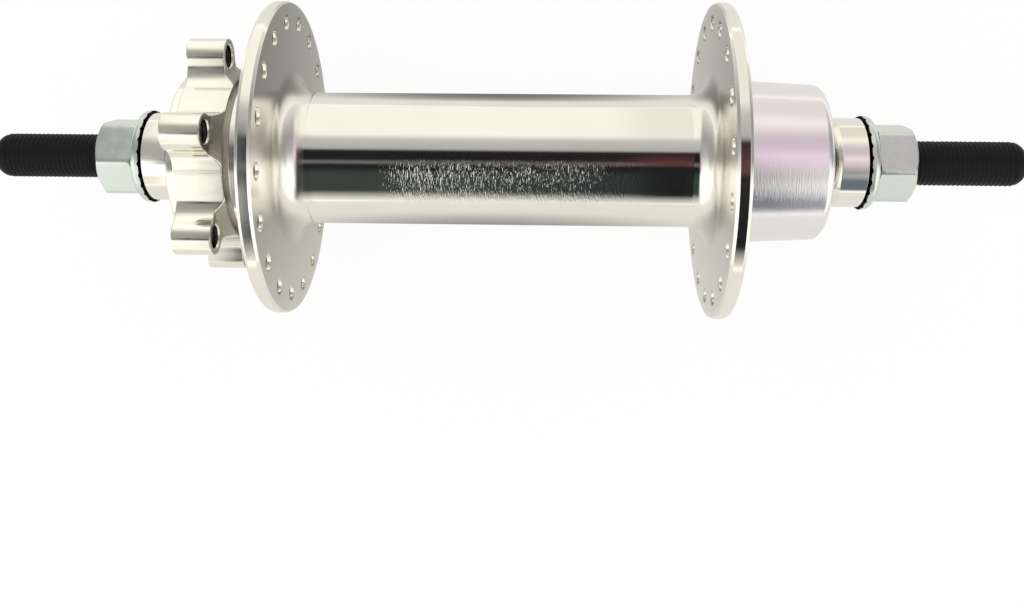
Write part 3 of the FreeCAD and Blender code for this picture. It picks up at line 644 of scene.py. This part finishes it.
def makeAxle():
    r = rod
    domeAngle = np.linspace(0, math.pi / 2, 12)[:-1]
    domeY = r["end"] - r["dome"] * (1 - np.sin(math.pi / 2 - domeAngle))
    base = r["end"] - r["dome"]
    ys = np.concatenate([domeY, np.arange(base, r["threadStart"], -r["pitch"] / r["perPitch"])])
    inDome = np.clip(ys - base, 0, r["dome"])
    domeRadius = r["radius"] - r["dome"] + np.sqrt(np.clip(r["dome"] ** 2 - inDome ** 2, 0, None))
    angle = np.arange(r["columns"]) * 2 * math.pi / r["columns"]
    ends = []
    for side in (1, -1):
        y = ys[:, None] * side
        wave = 0.5 - 0.5 * np.cos(2 * math.pi * (y / r["pitch"] - angle / (2 * math.pi)))
        runOut = np.clip((ys[:, None] - r["threadStart"]) / r["runOut"], 0, 1)
        radius = softMin(r["radius"] - r["depth"] * wave * runOut, domeRadius[:, None] + 0 * angle, 0.03)
        points = np.stack([radius * np.sin(angle), y + 0 * angle, radius * np.cos(angle)], -1)
        cap = np.stack([0 * angle, y[0] + 0 * angle, 0 * angle], -1)
        ends.append(np.concatenate([cap[None], points]))
    rows = np.concatenate([ends[0], ends[1][::-1]])
    return makePiece("threadedAxleSkin", [(rows[None], False, True, blackSteel)], "axle_group", ["axle"],
                     sharp=60.0)


makeAxle()
print("axle made")


# End spacers: a stub in the bearing, a tapered toe on the inner race and a polished band. The taper is later
# and steeper than the solid's, for the reflection on it.
spacerSizes = dict(bore=4.8, stub=7.48, stubStart=57.9, race=64.2, toe=8.7, taper=67.55, bandStart=69.4,
                   band=9.4, face=75.0, chamfer=0.25, columns=192)


def makeSpacer(name, side):
    s = spacerSizes
    middle = (s["stubStart"] + s["face"]) / 2
    profile = roundedProfile([
        (middle, s["bore"], 0), (s["stubStart"], s["bore"], 0.05), (s["stubStart"], s["stub"] - 0.25, 0.05),
        (s["stubStart"] + 0.25, s["stub"], 0.05), (s["race"], s["stub"], 0.05), (s["race"], s["toe"], 0.12),
        (s["taper"], s["toe"], 0.5), (s["bandStart"], s["band"], 0.3),
        (s["face"] - s["chamfer"], s["band"], 0.05), (s["face"], s["band"] - s["chamfer"], 0.05),
        (s["face"], s["bore"], 0.1), (middle, s["bore"], 0)])
    # the toe has faint tool lines, the rest is mirror-polished
    toeFrom = np.argmin(np.hypot(*(profile - [s["race"], s["toe"] - 0.3]).T))
    toeTo = np.argmin(np.hypot(*(profile - [s["bandStart"], s["band"]]).T))
    profile = profile * [side, 1]
    parts = [(profile[:toeFrom + 1], polished), (profile[toeFrom:toeTo + 1], milled),
             (profile[toeTo:], polished)]
    patches = [(turnedAbout(line, s["columns"]), False, True, surface) for line, surface in parts]
    return makePiece(f"{name}SpacerSkin", patches, "axle_group", [f"{name}_spacer"])


# Toothed washers: the face to the fork has 24 radial V notches that meet in narrow tips, inside a rounded rim
washerSizes = dict(bore=4.8, rim=9.9, near=75.0, far=77.2, recess=7.6, recessFloor=75.6, round=1.2, bevel=0.26,
                   teeth=24, notchDepth=0.52, landShare=0.02, columns=480)


def makeWasher(name, side):
    w = washerSizes
    smooth = roundedProfile([
        (w["near"] + w["bevel"] + 0.35, w["rim"], 0), (w["far"], w["rim"], w["round"]),
        (w["far"], w["bore"], 0.15), (w["recessFloor"], w["bore"], 0.1),
        (w["recessFloor"], w["recess"] - 0.02, 0)], wideSteps=12)
    columns = w["columns"]
    angle = np.arange(columns) * 2 * math.pi / columns
    local = (angle * w["teeth"] / (2 * math.pi)) % 1 - 0.5
    # the toothed face's lines from the recess to the rim's bevel, and each column's share of the notch depth:
    # 0 on a tip, 1 at the bottom of a notch
    toothRadii = np.array([w["recess"], w["recess"] + 0.04, 8.2, 8.8, 9.3,
                           w["rim"] - w["bevel"] - 0.02])[:, None]
    share = np.clip((1 - np.abs(2 * local) - w["landShare"]) / (1 - w["landShare"]), 0, 1)
    notch = w["notchDepth"] * share * toothRadii / w["rim"]
    rimNotch = w["notchDepth"] * share
    body = turnedAbout(smooth * [side, 1], columns)[0]

    def ringAt(y, radius):
        return np.stack([radius * np.sin(angle), side * y + 0 * angle, radius * np.cos(angle)], -1)

    rings = [ringAt(w["near"] + n, r + 0 * angle) for n, r in zip(notch, toothRadii)]
    rings.append(ringAt(w["near"] + np.maximum(rimNotch, w["bevel"]), w["rim"] + 0 * angle))
    coat = np.concatenate([rings[-1][None], body, rings[0][None]])
    # the toothed face takes the nearly black zinc: painted shade in the gap to the spacer
    return makePiece(f"{name}WasherSkin", [(coat[None], False, True, zinc),
                                           (np.stack(rings)[None], False, True, darkZincPaintedShade)],
                     f"{name}_washer_group", [f"{name}_washer"], sharp=35.0)


# Nuts: the radius at any angle and height is the smallest of hexagon, corner turning, nose chamfer and foot
# chamfer. The nose is 0.6 mm further out than the solid's, as in the photograph.
nutSizes = dict(bore=4.75, foot=77.2, footRadius=7.1, hexStart=77.6, nose=85.8, halfFlats=7.5, corner=8.45,
                chamferLow=6.545, footWide=8.35, footSlope=1.6, lead=0.6, soft=0.20,
                turn=dict(left=7.6, right=4.6), columns=216)


def makeNut(name, side):
    n = nutSizes
    columns = n["columns"]
    angle = np.arange(columns) * 2 * math.pi / columns
    local = (np.degrees(angle) - n["turn"][name] + 30) % 60 - 30
    hexagon = n["halfFlats"] / np.cos(np.radians(local))
    heights = np.concatenate([n["nose"] - np.linspace(0.02, 1.5, 26),
                              np.linspace(n["nose"] - 2.2, n["hexStart"] + 0.14, 8),
                              n["hexStart"] + np.array([0.09, 0.05, 0.02, 0.0])])
    cone = n["chamferLow"] + (n["nose"] - heights)[:, None] * math.sqrt(3)
    footCone = n["footWide"] + n["footSlope"] * (heights - n["hexStart"])[:, None]
    radius = softMin(softMin(hexagon + 0 * cone, n["corner"] + 0 * cone, n["soft"]), cone, n["soft"])
    radius = softMin(radius, footCone + 0 * radius, 0.1)

    def rings(profile):
        return turnedAbout(np.array(profile) * [side, 1], columns)[0]

    wall = np.stack([radius * np.sin(angle), side * heights[:, None] + 0 * radius, radius * np.cos(angle)], -1)
    foot, lead, bore = n["foot"], n["lead"], n["bore"]
    body = np.concatenate([
        rings([((foot + n["nose"]) / 2, bore), (n["nose"] - lead - 0.05, bore),
               (n["nose"] - lead, bore + 0.02), (n["nose"] - 0.03, bore + lead - 0.03),
               (n["nose"], bore + lead + 0.04), (n["nose"], n["chamferLow"] - 0.2)]),
        wall])
    under = np.concatenate([
        wall[-1:],
        rings([(n["hexStart"], n["footRadius"] + 0.1), (n["hexStart"] - 0.03, n["footRadius"] + 0.02),
               (n["hexStart"] - 0.08, n["footRadius"]), (foot + 0.08, n["footRadius"]),
               (foot + 0.02, n["footRadius"] - 0.02), (foot, n["footRadius"] - 0.08),
               (foot, bore + lead + 0.05), (foot + 0.03, bore + lead - 0.02), (foot + lead, bore + 0.02),
               (foot + lead + 0.05, bore), ((foot + n["nose"]) / 2, bore)])])
    # the foot and the foot half of the bore take the nearly black zinc: painted shade between nut and washer
    # and in the bore
    return makePiece(f"{name}NutSkin", [(body[None], False, True, zinc), (under[None], False, True, darkZincPaintedShade)],
                     f"{name}_nut_group", [f"{name}_nut"], sharp=35.0)


for name, side in sides.items():
    makeSpacer(name, side)
    makeWasher(name, side)
    makeNut(name, side)
print("spacers, washers and nuts made")


# Inner parts keep their solids and get their finishes
innerSlots = {entry["node"]: entry["material_slot"] for entry in frame["record"]["subparts"]}
for node, solid in frame["nodes"].items():
    if solid.hide_render:
        continue
    finish = inner[innerSlots[node]]
    solid.data.materials.clear()
    solid.data.materials.append(finish)
    solid.data.polygons.foreach_set("use_smooth", np.ones(len(solid.data.polygons), bool))
    solid.data.set_sharp_from_angle(angle=math.radians(30))
print("inner parts finished")


# Stage: white floor and a studio round it. Metal mirrors the studio; the camera sees white.
studio = dict(floorSize=6.0, floorHeight=-33.25 * mm, floorPaint="#F8F8F3", floorGlow="#FFFEF7",
              seen=0.93, mirrored=0.9,   # how much of the floor's own light the camera and the metal see
              lampSize=1.2, lampPower=6.0, lampPlace=(-0.55, 0.25, 1.1), white="#FFFFFF", fill=0.72)
# The floor that metal mirrors carries a painted shadow: dim under the hub and beside the upper rims, bright
# further out. Each run gives its distances in metres and then the strength at its start and end.
floorMirrorWithPaintedShadow = dict(
    centre=(0.035, 0.008, 0), stretch=(1, 2, 1),
    near=(0.03, 0.145, 0.14, 0.85), far=(0.14, 0.80, 0.0, 0.35),
    front=(0.25, 0.60, 0.0, -0.30), frontWidth=(0.09, 0.20, 1.0, 0.0),   # a little dimmer far off in front
)


def makeFloor():
    half, low = studio["floorSize"] / 2, studio["floorHeight"]
    mesh = bpy.data.meshes.new("studioFloor")
    mesh.from_pydata([(-half, -half, low), (half, -half, low), (half, half, low), (-half, half, low)], [],
                     [(0, 1, 2, 3)])
    material = bpy.data.materials.new("whiteSweep")
    material.use_nodes = True
    tree = material.node_tree
    tree.nodes.clear()
    rays = addNode(tree, "ShaderNodeLightPath")
    matt = addNode(tree, "ShaderNodeBsdfDiffuse", values={"Color": colour(studio["floorPaint"])})
    glow = addNode(tree, "ShaderNodeEmission", values={"Color": colour(studio["white"]), "Strength": 1.0})
    run = floorMirrorWithPaintedShadow
    squeezed = addNode(tree, "ShaderNodeVectorMath", values={1: run["stretch"]}, links={0: objectPlace(tree)},
                       operation="MULTIPLY")
    away = addNode(tree, "ShaderNodeVectorMath", values={1: run["centre"]}, links={0: squeezed.outputs[0]},
                   operation="DISTANCE").outputs["Value"]
    near = addNode(tree, "ShaderNodeMath",
                   links={0: fade(tree, away, *run["near"]), 1: fade(tree, away, *run["far"])})
    along = addNode(tree, "ShaderNodeSeparateXYZ", links={0: objectPlace(tree)}).outputs["Y"]
    along = addNode(tree, "ShaderNodeMath", links={0: along}, operation="ABSOLUTE").outputs[0]
    dimmer = addNode(tree, "ShaderNodeMath", operation="MULTIPLY",
                     links={0: fade(tree, away, *run["front"]), 1: fade(tree, along, *run["frontWidth"])})
    level = addNode(tree, "ShaderNodeMath", links={0: near.outputs[0], 1: dimmer.outputs[0]})
    # the floor's glow as the metal sees it, with the painted shadow under the hub and beside the upper rims
    below = addNode(tree, "ShaderNodeEmission", values={"Color": colour(studio["floorGlow"])},
                    links={"Strength": level.outputs[0]})
    seen = addNode(tree, "ShaderNodeMath", values={1: studio["seen"]},
                   links={0: rays.outputs["Is Camera Ray"]}, operation="MULTIPLY")
    mirrored = addNode(tree, "ShaderNodeMath", values={1: studio["mirrored"]},
                       links={0: rays.outputs["Is Glossy Ray"]}, operation="MULTIPLY")
    both = addNode(tree, "ShaderNodeMixShader",
                   links={0: seen.outputs[0], 1: matt.outputs[0], 2: glow.outputs[0]})
    sweep = addNode(tree, "ShaderNodeMixShader",
                   links={0: mirrored.outputs[0], 1: both.outputs[0], 2: below.outputs[0]})
    addNode(tree, "ShaderNodeOutputMaterial", links={"Surface": sweep.outputs[0]})
    mesh.materials.append(material)
    floor = bpy.data.objects.new("studioFloor", mesh)
    scene.collection.objects.link(floor)


# The studio that polished metal mirrors is built from these tones. The world shows them roomStrength times as
# bright, so that a lamp panel can pass white.
roomStrength = 1.6
tones = dict(
    lamp="#F6F6F3", panel="#E7E7E2", paper="#D5D5CC", cream="#C8C8C1", blush="#C2BEB7", stone="#B7B7AF",
    straw="#C6C4AC", rose="#CFC0C9", mauve="#B2A6AE", ash="#A5A4A1", grey="#959592", slate="#81827F",
    mist="#8C9195", steel="#565E64", dusk="#565959", moss="#2D3533", ruddy="#51312F", black="#161617",
)

# Each room is a run of tones by angle round the axle, in degrees from straight up towards +X (plus) or
# -X (minus); between two places one tone turns into the next. The barrel mirrors a dark gap between pale
# walls: middleRoom, and ruddyRoom at its right end. The left rim, the lobes and the left spacer have a room
# each, nuts and washers have nutRoom, drum and right spacer rightRoom and glareRoom, and the fillets sideRoom.
middleRoom = [(-180, "cream"), (-90, "cream"), (-71, "moss"), (-40, "moss"), (-28, "black"), (-24, "black"),
              (-21, "dusk"), (-18, "dusk"), (-15, "black"), (0, "black"), (4, "grey"), (20, "ash"),
              (29, "paper"), (90, "paper"), (180, "cream")]
ruddyRoom = [(-180, "cream"), (-92, "cream"), (-75, "black"), (-24, "black"), (-19, "ruddy"), (0, "black"),
             (4, "grey"), (20, "ash"), (29, "cream"), (180, "cream")]
rimRoom = [(-180, "cream"), (-102, "cream"), (-85, "dusk"), (-64, "dusk"), (-54, "slate"), (-32, "slate"),
           (-20, "dusk"), (-10, "moss"), (3, "moss"), (15, "grey"), (24, "ash"), (34, "cream"), (90, "paper"),
           (180, "cream")]
lobeRoom = [(-180, "stone"), (-125, "cream"), (-97, "panel"), (-37, "panel"), (-31, "moss"), (-23, "moss"),
            (-18, "slate"), (18, "grey"), (30, "cream"), (47, "panel"), (110, "paper"), (180, "stone")]
leftRoom = [(-180, "slate"), (-142, "slate"), (-99, "stone"), (-83, "straw"), (-70, "stone"), (-60, "lamp"),
            (-27, "lamp"), (-20, "ash"), (-9, "grey"), (25, "grey"), (42, "cream"), (101, "cream"),
            (150, "slate"), (180, "slate")]
nutRoom = [(-180, "stone"), (-120, "paper"), (-96, "panel"), (-34, "lamp"), (-4, "grey"), (30, "slate"),
           (60, "ash"), (100, "cream"), (180, "stone")]
rightLow = [(-180, "blush"), (-146, "blush"), (-111, "panel"), (-94, "panel")]
rightHigh = [(-4, "rose"), (10, "mauve"), (24, "mauve"), (46, "paper"), (62, "blush"), (180, "blush")]
rightRoom = rightLow + [(-86, "steel"), (-60, "steel"), (-48, "mist"), (-38, "slate")] + rightHigh
glareRoom = rightLow + [(-84, "mist"), (-74, "mist"), (-60, "panel"), (-44, "panel"), (-34, "blush"),
                        (-18, "rose")] + rightHigh
sideRoom = [(-180, "grey"), (-112, "grey"), (-84, "panel"), (-46, "panel"), (-14, "slate"), (45, "slate"),
            (75, "ash"), (180, "grey")]
# from the right end of the axle to the left: the mirrored direction's Y where one room gives way to the next
roomBorders = [(-0.90, -0.78, nutRoom), (-0.46, -0.41, glareRoom), (-0.346, -0.324, rightRoom),
               (-0.265, -0.225, ruddyRoom), (-0.11, -0.06, middleRoom), (0.291, 0.293, rimRoom),
               (0.304, 0.318, lobeRoom), (0.362, 0.370, leftRoom), (0.388, 0.400, nutRoom),
               (0.78, 0.90, sideRoom)]


def makeStudio():
    world = bpy.data.worlds.new("studio")
    scene.world = world
    world.use_nodes = True
    tree = world.node_tree
    tree.nodes.clear()
    view = addNode(tree, "ShaderNodeTexCoord").outputs["Generated"]
    axes = addNode(tree, "ShaderNodeSeparateXYZ", links={0: view})
    angle = addNode(tree, "ShaderNodeMath", links={0: axes.outputs["X"], 1: axes.outputs["Z"]},
                    operation="ARCTAN2")
    share = addNode(tree, "ShaderNodeMapRange", values={"From Min": -math.pi, "From Max": math.pi},
                    links={"Value": angle.outputs[0]})

    def room(stops):
        ramp = addNode(tree, "ShaderNodeValToRGB", links={"Fac": share.outputs[0]})
        band = ramp.color_ramp
        for place, _ in stops[1:-1]:
            band.elements.new((place + 180) / 360)
        for element, (_, tone) in zip(band.elements, stops):
            element.color = colour(tones[tone])
        return ramp.outputs["Color"]

    seen = room(sideRoom)
    for low, high, stops in roomBorders:
        seen = addNode(tree, "ShaderNodeMix", data_type="RGBA",
                       links={"Factor": fade(tree, axes.outputs["Y"], low, high), "A": seen,
                              "B": room(stops)}).outputs["Result"]
    rays = addNode(tree, "ShaderNodeLightPath")
    mirrored = addNode(tree, "ShaderNodeBackground", values={"Strength": roomStrength}, links={"Color": seen})
    fill = addNode(tree, "ShaderNodeBackground",
                   values={"Color": colour(studio["white"]), "Strength": studio["fill"]})
    white = addNode(tree, "ShaderNodeBackground", values={"Color": colour(studio["white"]), "Strength": 1.0})
    lit = addNode(tree, "ShaderNodeMixShader",
                  links={0: rays.outputs["Is Glossy Ray"], 1: fill.outputs[0], 2: mirrored.outputs[0]})
    both = addNode(tree, "ShaderNodeMixShader",
                   links={0: rays.outputs["Is Camera Ray"], 1: lit.outputs[0], 2: white.outputs[0]})
    addNode(tree, "ShaderNodeOutputWorld", links={"Surface": both.outputs[0]})


def makeLamp():
    data = bpy.data.lights.new("softPanel", "AREA")
    data.size = studio["lampSize"]
    data.energy = studio["lampPower"]
    lamp = bpy.data.objects.new("softPanel", data)
    lamp.location = studio["lampPlace"]
    lamp.rotation_euler = (-lamp.location).to_track_quat("-Z", "Y").to_euler()
    lamp.visible_glossy = False
    scene.collection.objects.link(lamp)


makeFloor()
makeStudio()
makeLamp()
print("stage made")
